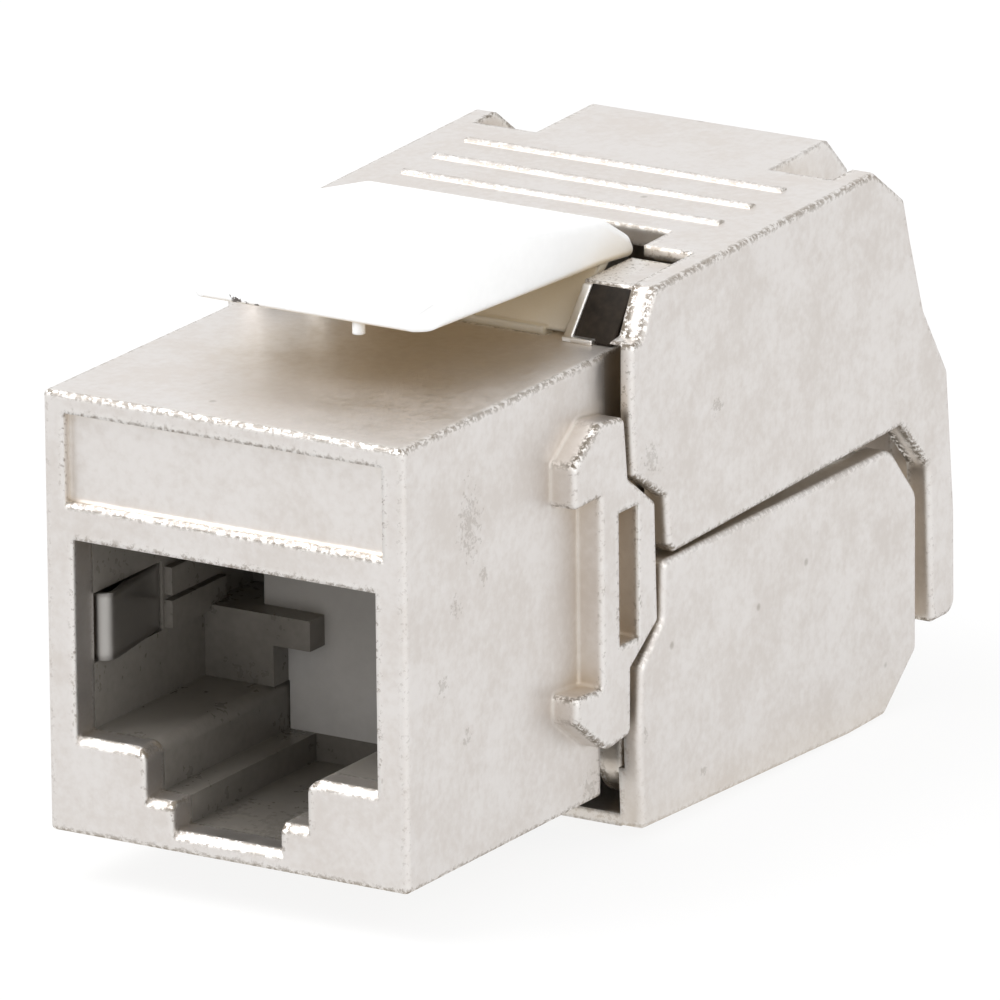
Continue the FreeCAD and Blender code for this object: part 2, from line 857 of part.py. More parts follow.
def latch_leg_solid():
    """The springy leg under the pad, and the foot that plugs into the housing's roof."""
    low = body_height + latch_clearance
    foot_y = body_depth + latch_foot_back
    foot_rear = foot_y + latch_foot_length
    half_width = latch_leg_width / 2
    base = foot_y + latch_leg / 4
    root = body_height + latch_foot_gap / 3
    run = (low - latch_foot_gap - root) / latch_leg_slope
    leg = side_prism([(base, root), (base + run, low - latch_foot_gap),
                      (base + run + latch_leg, low - latch_foot_gap), (base + latch_leg, root)],
                     -half_width, half_width)
    foot = block(-latch_foot_width / 2, latch_foot_width / 2, foot_y, foot_rear,
                 body_height - latch_foot_depth, body_height + 0.2)
    return leg.fuse(foot)


def latch():
    nub = Part.makeCylinder(latch_nub / 2, 2 * latch_nub,
                            Vector(latch_width / 5, latch_front + latch_nub,
                                   body_height + latch_clearance - latch_nub))
    return joined([latch_pad(), latch_leg_solid(), nub])


# ---------------------------------------------------------------- writing

def all_pieces():
    pieces = {
        "front_housing": front_housing(),
        "port_insert": port_insert(),
        "contact_carrier": contact_carrier(),
        "ground_spring_right": ground_spring(),
        "ground_spring_left": mirrored(ground_spring()),
        "circuit_board": circuit_board(),
        "terminal_block": terminal_block(),
        "wire_manager": wire_manager(),
        "upper_jaw": upper_jaw(),
        "lower_jaw": lower_jaw(),
        "latch": latch(),
    }
    for number in range(contact_count):
        pieces[f"contact_{number + 1}"] = contact(number)
    for number, (x, z) in enumerate(blade_places()):
        pieces[f"idc_contact_{number + 1}"] = idc_contact(x, z)
    return pieces


os.makedirs("parts", exist_ok=True)
to_origin = Vector(0, -jaw_length / 2, lower_drop)
for node, shape in all_pieces().items():
    solid = shape.Solids[0] if len(shape.Solids) == 1 else shape
    solid.translated(to_origin).exportStep(f"parts/{node}.step")
    print(node, len(shape.Solids), "solid", shape.isValid(), round(shape.Volume, 3))
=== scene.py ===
import bmesh
import bpy
import math
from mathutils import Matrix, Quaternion, Vector


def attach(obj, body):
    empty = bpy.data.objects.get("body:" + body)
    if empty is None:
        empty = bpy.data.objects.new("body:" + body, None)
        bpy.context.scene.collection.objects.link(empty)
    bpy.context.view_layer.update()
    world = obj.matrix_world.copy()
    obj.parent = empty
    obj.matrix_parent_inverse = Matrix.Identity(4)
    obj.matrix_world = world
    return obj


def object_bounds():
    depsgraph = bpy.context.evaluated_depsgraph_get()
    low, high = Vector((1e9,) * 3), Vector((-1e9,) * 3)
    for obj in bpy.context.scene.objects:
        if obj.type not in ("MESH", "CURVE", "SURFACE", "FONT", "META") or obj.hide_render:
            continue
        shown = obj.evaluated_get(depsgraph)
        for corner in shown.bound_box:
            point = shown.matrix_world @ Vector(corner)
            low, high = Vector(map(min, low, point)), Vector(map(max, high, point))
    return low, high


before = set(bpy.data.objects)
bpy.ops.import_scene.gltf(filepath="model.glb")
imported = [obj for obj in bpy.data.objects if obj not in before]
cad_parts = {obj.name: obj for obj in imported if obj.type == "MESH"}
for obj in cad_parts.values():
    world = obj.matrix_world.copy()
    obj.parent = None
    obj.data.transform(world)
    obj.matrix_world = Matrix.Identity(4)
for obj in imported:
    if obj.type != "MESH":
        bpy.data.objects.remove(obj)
cadLow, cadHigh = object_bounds()
print("stage: frame loaded")

mm = 0.001  # sizes are in mm, apart from those of the floor, the lamps and the camera, which are in metres
falling = (1.0, 0.0)  # the levels of a ramp that goes down
toneSwing = (0.3, 0.7)  # the grain's tone mostly stays between these
noiseDrift = (1.0, 0.7, 1.3)  # how a noise's offset is shared out over the axes


def clearTree(tree):
    for node in list(tree.nodes):
        tree.nodes.remove(node)


def addNode(tree, kind, **values):
    node = tree.nodes.new(kind)
    for key, value in values.items():
        setattr(node, key, value)
    return node


def feed(tree, socket, value):
    # the value is another node's output or a constant
    if isinstance(value, bpy.types.NodeSocket):
        tree.links.new(value, socket)
    elif socket.type == "RGBA":
        socket.default_value = (*value, 1.0)
    else:
        socket.default_value = value


def mathNode(tree, operation, first, second=None, clamp=False):
    node = addNode(tree, "ShaderNodeMath", operation=operation, use_clamp=clamp)
    feed(tree, node.inputs[0], first)
    if second is not None:
        feed(tree, node.inputs[1], second)
    return node.outputs[0]


def scaled(tree, value, factor):
    return mathNode(tree, "MULTIPLY", value, factor)


def larger(tree, first, second):
    return mathNode(tree, "MAXIMUM", first, second)


def vectorNode(tree, operation, first, second):
    node = addNode(tree, "ShaderNodeVectorMath", operation=operation)
    feed(tree, node.inputs[0], first)
    feed(tree, node.inputs[1], second)
    return node.outputs["Vector"]


def vectorLength(tree, vector):
    node = addNode(tree, "ShaderNodeVectorMath", operation="LENGTH")
    tree.links.new(vector, node.inputs[0])
    return node.outputs["Value"]


def axisSize(tree, vector, axis):
    # how far a vector reaches along an axis, whichever way
    node = addNode(tree, "ShaderNodeSeparateXYZ")
    tree.links.new(vector, node.inputs[0])
    return mathNode(tree, "ABSOLUTE", node.outputs[axis])


def mixColour(tree, factor, first, second, blend="MIX"):
    # sockets 0, 6 and 7 of a colour mix are its factor and its colours, and output 2 is the result
    node = addNode(tree, "ShaderNodeMix", data_type="RGBA", blend_type=blend)
    for place, value in ((0, factor), (6, first), (7, second)):
        feed(tree, node.inputs[place], value)
    return node.outputs[2]


def rampValue(tree, value, span, levels=(0.0, 1.0)):
    node = addNode(tree, "ShaderNodeMapRange", interpolation_type="SMOOTHSTEP")
    tree.links.new(value, node.inputs["Value"])
    for label, number in zip(("From Min", "From Max", "To Min", "To Max"), (*span, *levels)):
        node.inputs[label].default_value = number
    return node.outputs["Result"]


def noiseValue(tree, space, size, detail, roughness, offset):
    moved = vectorNode(tree, "ADD", space, [offset * share for share in noiseDrift])
    node = addNode(tree, "ShaderNodeTexNoise")
    tree.links.new(moved, node.inputs["Vector"])
    node.inputs["Scale"].default_value = 1.0 / size
    node.inputs["Detail"].default_value = detail
    node.inputs["Roughness"].default_value = roughness
    return node.outputs["Fac"]


def millimetreSpace(tree):
    place = addNode(tree, "ShaderNodeTexCoord")
    return vectorNode(tree, "MULTIPLY", place.outputs["Object"], (1.0 / mm, 1.0 / mm, 1.0 / mm))


def newGroup(name, inputs, outputs):
    tree = bpy.data.node_groups.new(name, "ShaderNodeTree")
    for label in inputs:
        tree.interface.new_socket(name=label, in_out="INPUT", socket_type="NodeSocketFloat")
    for label, kind in outputs.items():
        tree.interface.new_socket(name=label, in_out="OUTPUT", socket_type=kind)
    return tree, addNode(tree, "NodeGroupInput"), addNode(tree, "NodeGroupOutput")


def giveOut(tree, result, **values):
    for label, value in values.items():
        tree.links.new(value, result.inputs[label])


def useGroup(tree, group, **values):
    node = addNode(tree, "ShaderNodeGroup", node_tree=group)
    for label, value in values.items():
        node.inputs[label].default_value = value
    return node


castGrainSettings = {
    "broad": {"size": 2.6, "detail": 3.0, "roughness": 0.6, "offset": 0.0},
    "fine": {"size": 0.32, "detail": 2.0, "roughness": 0.6, "offset": 3.1},
    "broadShare": 0.6,
    "fineShare": 0.4,
    "pitSpacing": 1.5,
    "pitEdge": (0.05, 0.13),  # shares of the spacing
    "pitChance": 0.4,
}


def buildCastGrain():
    # mottled plating, a fine orange-peel skin and a few shallow pits
    cfg = castGrainSettings
    tree, given, result = newGroup(
        "castGrain", ("pits", "peel", "seed"),
        {"tone": "NodeSocketFloat", "pitMask": "NodeSocketFloat", "height": "NodeSocketFloat"})
    space = vectorNode(tree, "ADD", millimetreSpace(tree), given.outputs["seed"])
    broad = noiseValue(tree, space, **cfg["broad"])
    fine = noiseValue(tree, space, **cfg["fine"])
    tone = mathNode(tree, "ADD", scaled(tree, broad, cfg["broadShare"]), scaled(tree, fine, cfg["fineShare"]))
    cells = addNode(tree, "ShaderNodeTexVoronoi", feature="F1")
    tree.links.new(space, cells.inputs["Vector"])
    cells.inputs["Scale"].default_value = 1.0 / cfg["pitSpacing"]
    dots = rampValue(tree, cells.outputs["Distance"], cfg["pitEdge"], falling)
    draw = addNode(tree, "ShaderNodeSeparateColor")
    tree.links.new(cells.outputs["Color"], draw.inputs[0])
    chance = scaled(tree, given.outputs["pits"], cfg["pitChance"])
    pits = scaled(tree, dots, mathNode(tree, "LESS_THAN", draw.outputs[0], chance))
    height = mathNode(tree, "SUBTRACT", scaled(tree, fine, given.outputs["peel"]), pits)
    giveOut(tree, result, tone=tone, pitMask=pits, height=height)
    return tree


edgeWearAndSheenSettings = {
    "bevelSamples": 4,
    "insideSamples": 6,
    "insideReach": 1.7,  # times the edge's radius
    "levelFrom": (0.10, 0.40),  # how much of the rounded normal points up or down along a level edge
    "levelTo": (0.95, 1.0),
    "narrowBand": (0.14, 0.36),
    "narrowShare": 0.7,
    "levelBand": (0.05, 0.18),
    "ragged": {"size": 0.19, "detail": 3.0, "roughness": 0.75, "offset": 7.0},
    "levelShift": 0.12,  # level edges get the dark stain and painted dark reflection a little more often
    "brightFrom": (0.42, 0.48),
    "darkTo": (0.37, 0.43),
}


def buildEdgeWearAndSheen():
    # an outer edge is rubbed bright in places and stained dark in others, level edges the most; the bright is
    # partly a painted highlight, the dark partly a painted dark reflection
    cfg = edgeWearAndSheenSettings
    tree, given, result = newGroup(
        "edgeWearAndSheen", ("radius", "stain"),
        {"bright": "NodeSocketFloat", "dark": "NodeSocketFloat", "normal": "NodeSocketVector"})
    bevel = addNode(tree, "ShaderNodeBevel", samples=cfg["bevelSamples"])
    tree.links.new(given.outputs["radius"], bevel.inputs["Radius"])
    inside = addNode(tree, "ShaderNodeAmbientOcclusion", samples=cfg["insideSamples"], inside=True,
                     only_local=True)
    tree.links.new(scaled(tree, given.outputs["radius"], cfg["insideReach"]), inside.inputs["Distance"])
    near = mathNode(tree, "SUBTRACT", 1.0, inside.outputs["AO"])
    turned = addNode(tree, "ShaderNodeVectorTransform", vector_type="NORMAL",
                     convert_from="WORLD", convert_to="OBJECT")
    tree.links.new(bevel.outputs[0], turned.inputs[0])
    upward = axisSize(tree, turned.outputs[0], "Z")
    level = scaled(tree, rampValue(tree, upward, cfg["levelFrom"]),
                   rampValue(tree, upward, cfg["levelTo"], falling))
    narrow = scaled(tree, rampValue(tree, near, cfg["narrowBand"]), cfg["narrowShare"])
    edge = larger(tree, narrow, scaled(tree, rampValue(tree, near, cfg["levelBand"]), level))
    ragged = noiseValue(tree, millimetreSpace(tree), **cfg["ragged"])
    split = mathNode(tree, "SUBTRACT", ragged, scaled(tree, level, cfg["levelShift"]))
    bright = scaled(tree, edge, rampValue(tree, split, cfg["brightFrom"]))
    dark = scaled(tree, edge, rampValue(tree, split, cfg["darkTo"], falling))
    dark = scaled(tree, dark, given.outputs["stain"])
    giveOut(tree, result, bright=bright, dark=dark, normal=bevel.outputs[0])
    return tree


creviceSamples = 6


def buildCrevice():
    # how far a spot is shut in by what stands round it
    tree, given, result = newGroup("crevice", ("reach",), {"mask": "NodeSocketFloat"})
    around = addNode(tree, "ShaderNodeAmbientOcclusion", samples=creviceSamples, only_local=False)
    tree.links.new(given.outputs["reach"], around.inputs["Distance"])
    giveOut(tree, result, mask=mathNode(tree, "SUBTRACT", 1.0, around.outputs["AO"], clamp=True))
    return tree


castGrain = buildCastGrain()
edgeWearAndSheen = buildEdgeWearAndSheen()
crevice = buildCrevice()
finishes = {}


def newMaterial(name):
    material = bpy.data.materials.new(name)
    material.use_nodes = True
    clearTree(material.node_tree)
    return material


def newFinish(name):
    finishes[name] = newMaterial(name)
    tree = finishes[name].node_tree
    shader = addNode(tree, "ShaderNodeBsdfPrincipled")
    output = addNode(tree, "ShaderNodeOutputMaterial")
    tree.links.new(shader.outputs[0], output.inputs["Surface"])
    return tree, shader


def bumpNormal(tree, shader, height, strength, depth, base=None):
    bump = addNode(tree, "ShaderNodeBump")
    bump.inputs["Strength"].default_value = strength
    bump.inputs["Distance"].default_value = depth * mm
    tree.links.new(height, bump.inputs["Height"])
    if base is not None:
        tree.links.new(base, bump.inputs["Normal"])
    tree.links.new(bump.outputs[0], shader.inputs["Normal"])


knockSettings = {
    "ragged": {"size": 0.24, "detail": 3.0, "roughness": 0.7, "offset": 11.0},
    "raggedShare": 5.0,
    "edge": (2.7, 3.2),  # radii from the centre, with the ragged share added
}


def knockMask(tree, node, knocks):
    # small ragged knocks; each is (centre from the jack's origin, radii)
    cfg = knockSettings
    space = millimetreSpace(tree)
    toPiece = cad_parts[node].matrix_world.inverted()
    ragged = scaled(tree, noiseValue(tree, space, **cfg["ragged"]), cfg["raggedShare"])
    total = None
    for centre, radii in knocks:
        local = toPiece @ (Vector(centre) * mm)
        fitted = vectorNode(tree, "DIVIDE", vectorNode(tree, "SUBTRACT", space, local / mm), radii)
        far = mathNode(tree, "ADD", vectorLength(tree, fitted), ragged)
        mask = rampValue(tree, far, cfg["edge"], falling)
        total = mask if total is None else larger(tree, total, mask)
    return total


platedZincSettings = {
    "peel": 0.6,
    "toneSpan": (0.35, 0.65),
    "base": (0.672, 0.632, 0.600),
    "pale": (0.742, 0.712, 0.690),
    # the tan is the colour of the painted shade in hollows and under the latch
    "tan": (0.590, 0.460, 0.280),
    "stain": (0.150, 0.120, 0.085),
    # the bright edge colour: partly rubbed metal, partly a painted highlight
    "rubbedAndHighlight": (0.820, 0.798, 0.770),
    "rubbedAndHighlightShare": 0.8,
    "knockShare": 0.28,
    "pitShare": 0.45,
    "sparseSpotFade": 0.3,
    "sparseSpotShare": 0.5,
    "roughness": (0.50, 0.36),  # where the tone is darkest and where it is palest
    "stainMetallic": 0.1,
    "stainRoughness": 0.75,
    "edgeRadius": 0.25,
    "creviceReach": 4.2,
    "creviceSpan": (0.20, 1.0),
    "creviceShare": 0.50,
    "bump": 0.35,
    "bumpDepth": 0.03,
}


def platedZinc(name, node, seed, pits, stain, knocks, sparseSpotHalf=None):
    # inside the half width given, the edges get fewer dark spots, of stain and painted dark reflection alike
    cfg = platedZincSettings
    tree, shader = newFinish(name)
    grain = useGroup(tree, castGrain, pits=pits, peel=cfg["peel"], seed=seed)
    wearAndSheen = useGroup(tree, edgeWearAndSheen, radius=cfg["edgeRadius"] * mm, stain=stain)
    shut = useGroup(tree, crevice, reach=cfg["creviceReach"] * mm)
    knocked = knockMask(tree, node, knocks)
    tone = rampValue(tree, grain.outputs["tone"], cfg["toneSpan"])
    colour = mixColour(tree, tone, cfg["base"], cfg["pale"])
    # painted shade: the colour is tinted tan where the crevice mask finds a spot shut in, such as under the
    # latch
    paintedShade = scaled(tree, rampValue(tree, shut.outputs["mask"], cfg["creviceSpan"]), cfg["creviceShare"])
    colour = mixColour(tree, paintedShade, colour, cfg["tan"])
    # painted highlight, partly real rubbing: the edges are paled towards the bright edge colour
    colour = mixColour(tree, scaled(tree, wearAndSheen.outputs["bright"], cfg["rubbedAndHighlightShare"]), colour, cfg["rubbedAndHighlight"])
    # dark spots: real stain on knocks, pits and edges, and on the edges also a painted dark reflection
    spots = wearAndSheen.outputs["dark"]
    if sparseSpotHalf is not None:
        sideways = axisSize(tree, millimetreSpace(tree), "X")
        spots = scaled(tree, spots, rampValue(tree, sideways, (sparseSpotHalf - cfg["sparseSpotFade"], sparseSpotHalf),
                                              (cfg["sparseSpotShare"], 1.0)))
    spots = larger(tree, spots, scaled(tree, knocked, cfg["knockShare"]))
    spots = larger(tree, spots, scaled(tree, grain.outputs["pitMask"], cfg["pitShare"]))
    colour = mixColour(tree, spots, colour, cfg["stain"])
    tree.links.new(colour, shader.inputs["Base Color"])
    metallic = rampValue(tree, spots, (0.0, 1.0), (1.0, cfg["stainMetallic"]))
    tree.links.new(metallic, shader.inputs["Metallic"])
    polish = rampValue(tree, grain.outputs["tone"], toneSwing, cfg["roughness"])
    roughness = larger(tree, polish, scaled(tree, spots, cfg["stainRoughness"]))
    tree.links.new(roughness, shader.inputs["Roughness"])
    height = mathNode(tree, "SUBTRACT", grain.outputs["height"], knocked)
    bumpNormal(tree, shader, height, cfg["bump"], cfg["bumpDepth"], wearAndSheen.outputs["normal"])


plainMetalSettings = {
    "peel": 0.3,
    "seed": 9.0,
    "stain": 0.2,
    "shade": 0.82,
    "spread": 0.2,  # how far the roughness strays, as a share of it
    "bump": 0.2,
    "bumpDepth": 0.02,
}


def plainMetal(name, base, roughness, edgeRadius):
    cfg = plainMetalSettings
    tree, shader = newFinish(name)
    grain = useGroup(tree, castGrain, pits=0.0, peel=cfg["peel"], seed=cfg["seed"])
    wearAndSheen = useGroup(tree, edgeWearAndSheen, radius=edgeRadius * mm, stain=cfg["stain"])
    shade = tuple(channel * cfg["shade"] for channel in base)
    tree.links.new(mixColour(tree, grain.outputs["tone"], shade, base), shader.inputs["Base Color"])
    shader.inputs["Metallic"].default_value = 1.0
    levels = (roughness * (1 - cfg["spread"]), roughness * (1 + cfg["spread"]))
    tree.links.new(rampValue(tree, grain.outputs["tone"], toneSwing, levels), shader.inputs["Roughness"])
    bumpNormal(tree, shader, grain.outputs["height"], cfg["bump"], cfg["bumpDepth"], wearAndSheen.outputs["normal"])


mouldedPlasticSettings = {
    "peel": 0.5,
    "spread": 0.15,
    "bumpDepth": 0.02,
}


def mouldedPlastic(name, base, pale, roughness, seed, bump=0.25, edgeRadius=0.15, gloss=0.5):
    # no edgeRadius leaves the edges sharp
    cfg = mouldedPlasticSettings
    tree, shader = newFinish(name)
    shader.inputs["Specular IOR Level"].default_value = gloss
    grain = useGroup(tree, castGrain, pits=0.0, peel=cfg["peel"], seed=seed)
    tone = rampValue(tree, grain.outputs["tone"], toneSwing)
    tree.links.new(mixColour(tree, tone, base, pale), shader.inputs["Base Color"])
    levels = (roughness * (1 - cfg["spread"]), roughness * (1 + cfg["spread"]))
    tree.links.new(rampValue(tree, grain.outputs["tone"], toneSwing, levels), shader.inputs["Roughness"])
    edges = None
    if edgeRadius is not None:
        edges = useGroup(tree, edgeWearAndSheen, radius=edgeRadius * mm, stain=0.0).outputs["normal"]
    bumpNormal(tree, shader, grain.outputs["height"], bump, cfg["bumpDepth"], edges)


latchPlasticSettings = {
    "peel": 0.2,
    "seed": 7.0,
    "base": (0.800, 0.808, 0.815),
    "pale": (0.830, 0.838, 0.845),
    "shade": (0.490, 0.390, 0.235),  # warm light thrown up by the metal below
    "shadeSpan": (0.30, 0.70),
    "shadeShare": 0.85,
    "glow": (1.0, 0.84, 0.60),  # daylight that soaks through the thin moulding
    "glowStrength": 0.08,
    "speck": (0.060, 0.050, 0.045),
    "specks": [((-2.7, -12.15, 20.05), (0.50, 0.35, 0.14)), ((-1.9, -12.2, 20.0), (0.16, 0.3, 0.08))],
    "roughness": (0.30, 0.38),
    "edgeRadius": 0.22,
    "creviceReach": 4.0,
    "bump": 0.08,
    "bumpDepth": 0.02,
}


def latchPlastic(name):
    cfg = latchPlasticSettings
    tree, shader = newFinish(name)
    grain = useGroup(tree, castGrain, pits=0.0, peel=cfg["peel"], seed=cfg["seed"])
    wearAndSheen = useGroup(tree, edgeWearAndSheen, radius=cfg["edgeRadius"] * mm, stain=0.0)
    shut = useGroup(tree, crevice, reach=cfg["creviceReach"] * mm)
    colour = mixColour(tree, rampValue(tree, grain.outputs["tone"], toneSwing), cfg["base"], cfg["pale"])
    warm = scaled(tree, rampValue(tree, shut.outputs["mask"], cfg["shadeSpan"]), cfg["shadeShare"])
    colour = mixColour(tree, warm, colour, cfg["shade"])
    colour = mixColour(tree, knockMask(tree, "latch", cfg["specks"]), colour, cfg["speck"])
    tree.links.new(colour, shader.inputs["Base Color"])
    feed(tree, shader.inputs["Emission Color"], cfg["glow"])
    tree.links.new(scaled(tree, warm, cfg["glowStrength"]), shader.inputs["Emission Strength"])
    roughness = rampValue(tree, grain.outputs["tone"], toneSwing, cfg["roughness"])
    tree.links.new(roughness, shader.inputs["Roughness"])
    bumpNormal(tree, shader, grain.outputs["height"], cfg["bump"], cfg["bumpDepth"], wearAndSheen.outputs["normal"])


carrierSettings = {
    "peel": 0.5,
    "seed": 6.0,
    "low": (0.60, 0.585, 0.57),
    "high": (0.34, 0.325, 0.31),
    "climb": (3.2, 9.5),  # heights over the jack's origin of a painted light and shade gradient: pale below, dim above
    "dimmest": 0.90,
    "roughness": (0.38, 0.50),
    "bump": 0.2,
    "bumpDepth": 0.02,
}


def carrierPlastic(name):
    cfg = carrierSettings
    tree, shader = newFinish(name)
    grain = useGroup(tree, castGrain, pits=0.0, peel=cfg["peel"], seed=cfg["seed"])
    place = addNode(tree, "ShaderNodeNewGeometry")
    split = addNode(tree, "ShaderNodeSeparateXYZ")
    tree.links.new(place.outputs["Position"], split.inputs[0])
    # painted shade: the carrier darkens with height, standing in for how the light falls in the port
    climb = rampValue(tree, split.outputs["Z"], [height * mm for height in cfg["climb"]])
    colour = mixColour(tree, climb, cfg["low"], cfg["high"])
    shade = rampValue(tree, grain.outputs["tone"], toneSwing, (cfg["dimmest"], 1.0))
    tree.links.new(mixColour(tree, 1.0, colour, shade, "MULTIPLY"), shader.inputs["Base Color"])
    roughness = rampValue(tree, grain.outputs["tone"], toneSwing, cfg["roughness"])
    tree.links.new(roughness, shader.inputs["Roughness"])
    bumpNormal(tree, shader, grain.outputs["height"], cfg["bump"], cfg["bumpDepth"])


zincFinishes = {
    "housingZinc": {
        "node": "front_housing", "seed": 0.0, "pits": 0.5, "stain": 0.95,
        "knocks": [
            ((7.25, -13.3, 13.9), (0.6, 0.75, 1.40)),
            ((7.25, -14.2, 11.2), (0.6, 0.36, 0.46)),
            ((7.25, -12.4, 11.9), (0.6, 0.32, 0.40)),
            ((7.25, -15.1, 8.6), (0.6, 0.38, 0.36)),
            ((7.25, -13.6, 6.4), (0.6, 0.26, 0.34)),
            ((7.10, -5.6, 2.4), (0.6, 0.70, 0.55)),
        ],
    },
    "upperJawZinc": {
        "node": "upper_jaw", "seed": 17.0, "pits": 0.35, "stain": 0.95, "sparseSpotHalf": 6.8,
        "knocks": [((8.25, -3.0, 13.6), (0.6, 0.62, 0.75)), ((8.25, 1.3, 14.4), (0.6, 0.40, 0.40))],
    },
    "lowerJawZinc": {
        "node": "lower_jaw", "seed": 31.0, "pits": 0.35, "stain": 0.35,
        "knocks": [((8.25, -3.6, 3.9), (0.6, 0.26, 0.30)), ((8.25, 0.2, 1.5), (0.6, 0.24, 0.22))],
    },
}
plasticFinishes = {
    "insertDark": {"base": (0.150, 0.138, 0.122), "pale": (0.200, 0.185, 0.166), "roughness": 0.30,
                   "seed": 4.0, "bump": 0.1, "edgeRadius": None},
    "blockDark": {"base": (0.014, 0.011, 0.008), "pale": (0.026, 0.021, 0.016), "roughness": 0.45, "seed": 5.0},
    # a near-black for the painted shade sheets in the knuckle openings
    "liningDark": {"base": (0.010, 0.007, 0.005), "pale": (0.034, 0.026, 0.019), "roughness": 0.60,
                   "seed": 12.0, "bump": 0.5, "gloss": 0.12},
    "organizerWhite": {"base": (0.82, 0.82, 0.815), "pale": (0.86, 0.86, 0.855), "roughness": 0.35,
                       "seed": 8.0},
    "boardGreen": {"base": (0.02, 0.11, 0.05), "pale": (0.03, 0.15, 0.07), "roughness": 0.30, "seed": 2.0},
}
metalFinishes = {
    "springSteel": {"base": (0.42, 0.405, 0.385), "roughness": 0.34, "edgeRadius": 0.40},
    # a paler copy of the zinc, a painted highlight that makes the knuckle rims read as lit edges
    "rimZinc": {"base": (0.90, 0.88, 0.85), "roughness": 0.36, "edgeRadius": 0.08},
    "contactGold": {"base": (0.90, 0.68, 0.30), "roughness": 0.22, "edgeRadius": 0.05},
    "bladeTin": {"base": (0.75, 0.74, 0.72), "roughness": 0.35, "edgeRadius": 0.05},
}

for make, table in ((platedZinc, zincFinishes), (mouldedPlastic, plasticFinishes), (plainMetal, metalFinishes)):
    for name, cfg in table.items():
        make(name, **cfg)
carrierPlastic("carrierPale")
latchPlastic("latchWhite")

nodeFinishes = {
    "front_housing": "housingZinc",
    "upper_jaw": "upperJawZinc",
    "lower_jaw": "lowerJawZinc",
    "latch": "latchWhite",
    "port_insert": "insertDark",
    "contact_carrier": "carrierPale",
    "terminal_block": "blockDark",
    "wire_manager": "organizerWhite",
    "circuit_board": "boardGreen",
    "ground_spring_left": "springSteel",
    "ground_spring_right": "springSteel",
}
for number in range(1, 9):
    nodeFinishes[f"contact_{number}"] = "contactGold"
    nodeFinishes[f"idc_contact_{number}"] = "bladeTin"
for node, finish in nodeFinishes.items():
    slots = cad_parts[node].data.materials
    slots.clear()
    slots.append(finishes[finish])
print("stage: finishes on the pieces")


barSettings = {
    "edgeWidth": 0.04,
    "edgeSteps": 2,
    "edgeProfile": 0.5,
}


def addBar(shape, outline, span, sign):
    # an outline of y and z, drawn out over a span of x from the jack's middle plane
    ends = []
    for x in span:
        ends.append([shape.verts.new(Vector((sign * x, y, z)) * mm) for y, z in outline])
        shape.faces.new(ends[-1])
    for corner in range(len(outline)):
        following = (corner + 1) % len(outline)
        shape.faces.new((ends[0][corner], ends[0][following], ends[1][following], ends[1][corner]))


def finishBars(shape, name, finish, body):
    cfg = barSettings
    bmesh.ops.recalc_face_normals(shape, faces=shape.faces[:])
    bmesh.ops.bevel(shape, geom=shape.edges[:], offset=cfg["edgeWidth"] * mm, segments=cfg["edgeSteps"],
                    profile=cfg["edgeProfile"], affect="EDGES")
    mesh = bpy.data.meshes.new(name)
    shape.to_mesh(mesh)
    shape.free()
    mesh.materials.append(finishes[finish])
    piece = bpy.data.objects.new(name, mesh)
    bpy.context.collection.objects.link(piece)
    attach(piece, body)


knuckleRimSettings = {
    "lean": [(-2.00, 19.30), (-2.38, 19.30), (-3.82, 17.61), (-3.46, 17.61)],
    "leanSpan": (5.10, 5.45),
    "foot": [(-3.80, 17.60), (-3.80, 17.78), (-3.25, 17.78), (-3.25, 17.60)],
    "footSpan": (5.10, 6.30),
    "lining": [(-2.15, 19.31), (-2.26, 19.31), (-3.62, 17.64), (-3.51, 17.64)],
    "shadeSheetSpan": (5.40, 7.05),
}


def buildKnuckleRim(side, sign):
    # the leaning sheet edge and its foot round the opening under a knuckle, and inside a near-black sheet of
    # painted shade
    cfg = knuckleRimSettings
    rim = bmesh.new()
    addBar(rim, cfg["lean"], cfg["leanSpan"], sign)
    addBar(rim, cfg["foot"], cfg["footSpan"], sign)
    finishBars(rim, f"knuckle_rim_{side}", "rimZinc", "housing")
    # painted shade: a near-black sheet put in the opening where there is only shadow
    lining = bmesh.new()
    addBar(lining, cfg["lining"], cfg["shadeSheetSpan"], sign)
    finishBars(lining, f"knuckle_shade_sheet_{side}", "liningDark", "housing")


hookGussetSettings = {
    "outline": [(16.32, 10.54), (16.32, 8.30), (16.62, 7.90), (17.06, 7.90), (17.06, 10.54)],
    "span": (4.30, 6.32),
}


def buildHookGusset(side, sign):
    # the corner between a hook's web and the back wall, seen through the gap behind the lower jaw
    cfg = hookGussetSettings
    gusset = bmesh.new()
    addBar(gusset, cfg["outline"], cfg["span"], sign)
    finishBars(gusset, f"hook_gusset_{side}", "upperJawZinc", "upper_jaw")


for side, sign in (("left", -1), ("right", 1)):
    buildKnuckleRim(side, sign)
    buildHookGusset(side, sign)
print("stage: rims of the knuckles and gussets of the hooks")


def shownRays(tree):
    # rays that show a surface straight, in a mirror or through glass
    rays = addNode(tree, "ShaderNodeLightPath")
    shown = larger(tree, rays.outputs["Is Camera Ray"], rays.outputs["Is Glossy Ray"])
    return larger(tree, shown, rays.outputs["Is Transmission Ray"])


def blendSurfaces(tree, factor, first, second, outputKind):
    blend = addNode(tree, "ShaderNodeMixShader")
    tree.links.new(factor, blend.inputs[0])
    tree.links.new(first.outputs[0], blend.inputs[1])
    tree.links.new(second.outputs[0], blend.inputs[2])
    output = addNode(tree, outputKind)
    tree.links.new(blend.outputs[0], output.inputs["Surface"])


floorSettings = {
    "half": 1.2,
    "drop": 0.00002,
    "colour": (0.86, 0.86, 0.86),
    "white": 0.86,
}


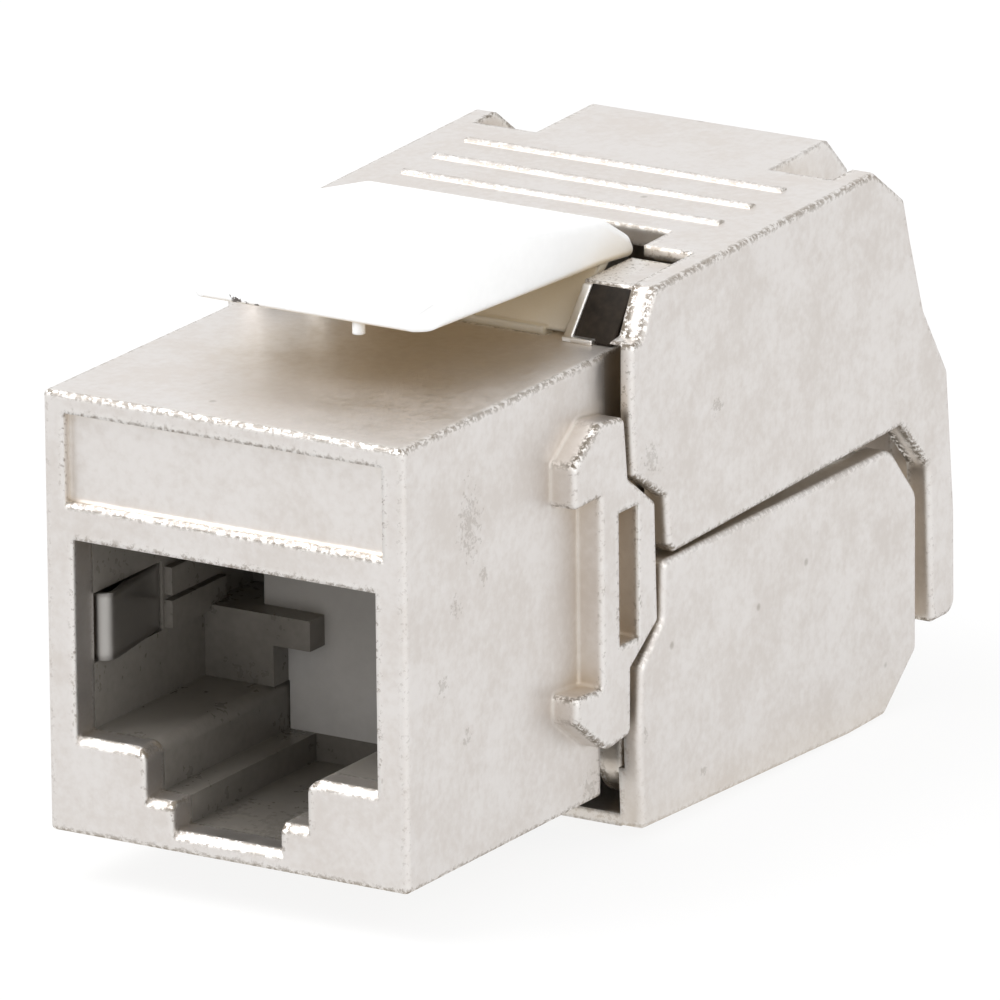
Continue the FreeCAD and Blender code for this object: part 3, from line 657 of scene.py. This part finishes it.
def buildFloor():
    cfg = floorSettings
    half = cfg["half"]
    mesh = bpy.data.meshes.new("floor")
    corners = [(-half, -half, 0), (half, -half, 0), (half, half, 0), (-half, half, 0)]
    mesh.from_pydata(corners, [], [(0, 1, 2, 3)])
    floor = bpy.data.objects.new("floor", mesh)
    bpy.context.collection.objects.link(floor)
    floor.location.z = cadLow.z - cfg["drop"]
    material = newMaterial("paleFloor")
    tree = material.node_tree
    matte = addNode(tree, "ShaderNodeBsdfDiffuse")
    feed(tree, matte.inputs["Color"], cfg["colour"])
    white = addNode(tree, "ShaderNodeEmission")
    feed(tree, white.inputs["Color"], (1.0, 1.0, 1.0))
    blendSurfaces(tree, scaled(tree, shownRays(tree), cfg["white"]), matte, white, "ShaderNodeOutputMaterial")
    mesh.materials.append(material)


worldSettings = {
    "colour": (1.0, 0.99, 0.975),
    "light": 0.80,
}


def buildWorld():
    cfg = worldSettings
    world = bpy.data.worlds.new("studio")
    bpy.context.scene.world = world
    world.use_nodes = True
    tree = world.node_tree
    clearTree(tree)
    light = addNode(tree, "ShaderNodeBackground")
    feed(tree, light.inputs["Color"], cfg["colour"])
    light.inputs["Strength"].default_value = cfg["light"]
    white = addNode(tree, "ShaderNodeBackground")
    feed(tree, white.inputs["Color"], (1.0, 1.0, 1.0))
    blendSurfaces(tree, shownRays(tree), light, white, "ShaderNodeOutputWorld")


def placeView(item, centre, azimuth, elevation, distance, roll=0.0):
    # the item looks at the centre from a distance; azimuth 0 is the jack's front, angles in degrees
    turn = math.radians(azimuth)
    rise = math.radians(elevation)
    away = Vector((math.sin(turn) * math.cos(rise), -math.cos(turn) * math.cos(rise), math.sin(rise)))
    item.location = centre + away * distance
    item.rotation_mode = "QUATERNION"
    item.rotation_quaternion = away.to_track_quat("Z", "Y") @ Quaternion((0, 0, 1), math.radians(roll))


lampSettings = {
    "key": {"azimuth": -50, "elevation": 55, "distance": 0.45, "size": 0.30, "power": 1.8},
    "fill": {"azimuth": 75, "elevation": 25, "distance": 0.50, "size": 0.45, "power": 1.0},
}


def buildLamps():
    centre = (cadLow + cadHigh) / 2
    for name, cfg in lampSettings.items():
        data = bpy.data.lights.new(name, "AREA")
        data.energy = cfg["power"]
        data.size = cfg["size"]
        lamp = bpy.data.objects.new(name, data)
        bpy.context.collection.objects.link(lamp)
        placeView(lamp, centre, cfg["azimuth"], cfg["elevation"], cfg["distance"])


cameraSettings = {
    "azimuth": 31.973,
    "elevation": 17.145,
    "roll": -0.598,
    "distance": 0.6234,
    "lensLength": 648.0,  # mm, as is the sensor's width
    "sensorWidth": 36.0,
    "clip": (0.01, 10.0),
    "aim": (0.00152, -0.00215, 0.01090),
}


def buildCamera():
    cfg = cameraSettings
    data = bpy.data.cameras.new("view")
    data.lens = cfg["lensLength"]
    data.sensor_width = cfg["sensorWidth"]
    data.clip_start, data.clip_end = cfg["clip"]
    camera = bpy.data.objects.new("view", data)
    bpy.context.collection.objects.link(camera)
    placeView(camera, Vector(cfg["aim"]), cfg["azimuth"], cfg["elevation"], cfg["distance"], cfg["roll"])
    bpy.context.scene.camera = camera


buildFloor()
buildWorld()
buildLamps()
buildCamera()
bpy.context.scene.view_settings.view_transform = "Standard"
print("stage: floor, light and camera")
